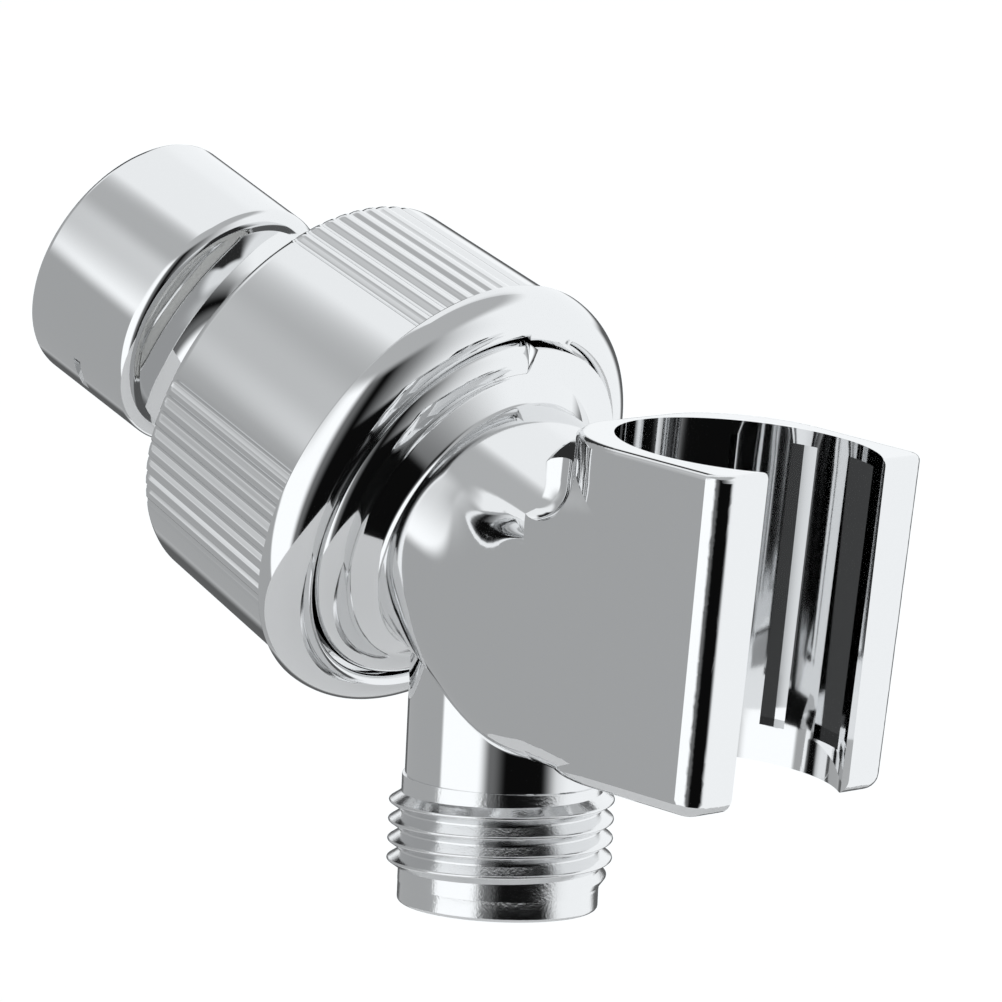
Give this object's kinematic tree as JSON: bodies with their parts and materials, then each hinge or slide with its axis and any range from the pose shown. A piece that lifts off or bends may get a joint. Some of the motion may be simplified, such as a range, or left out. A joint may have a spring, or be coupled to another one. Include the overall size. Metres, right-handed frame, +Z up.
{
  "type": "hand shower holder",
  "caption": "Chromed hand shower holder with a threaded ball inlet, a ribbed pivot nut, a C-shaped cradle for the handle and a threaded outlet below for the hose.",
  "frame": {"origin": "on the inlet's axis, at the mouth of the threaded socket that takes the shower arm", "axes": "+Z is up, with the outlet pointing straight down; +X runs from the arm towards the user; the swivel axis falls 23 degrees below +X, and the object is symmetric about the XZ plane but for the nut's rib groups and the collar's notch"},
  "size_m": [0.0913, 0.0436, 0.0658],
  "materials": {
    "chromed_brass": "polished chrome on brass",
    "washer_rubber": "matt",
    "screen_steel": "satin stainless steel",
    "ring_plastic": "natural acetal",
    "seat_plastic": "natural acetal",
    "seal_rubber": "greased rubber",
    "nut_chrome": "polished chrome",
    "body_chrome": "polished chrome"
  },
  "bodies": {
    "inlet": {"inlet_ball": "chromed_brass", "inlet_washer": "washer_rubber", "filter_screen": "screen_steel"},
    "ring": {"split_ring": "ring_plastic"},
    "seat": {"ball_seat": "seat_plastic"},
    "holder": {"holder_body": "body_chrome", "seat_seal": "seal_rubber"},
    "nut": {"pivot_nut": "nut_chrome"}
  },
  "joints": [
    {"name": "swivel", "type": "hinge", "parent": "inlet", "child": "ring", "pos_m": [0.03185, 0, -0.01352], "axis": [0.9205, 0, -0.3907], "continuous": true},
    {"name": "tilt", "type": "hinge", "parent": "ring", "child": "seat", "pos_m": [0.03185, 0, -0.01352], "axis": [0, 1, 0], "range_deg": [-18, 18]},
    {"name": "roll", "type": "hinge", "parent": "seat", "child": "holder", "pos_m": [0.03185, 0, -0.01352], "axis": [0.9205, 0, -0.3907], "continuous": true},
    {"name": "nut_turn", "type": "hinge", "parent": "holder", "child": "nut", "pos_m": [0.03185, 0, -0.01352], "axis": [-0.9205, 0, 0.3907], "range_deg": [0, 45]}
  ]
}
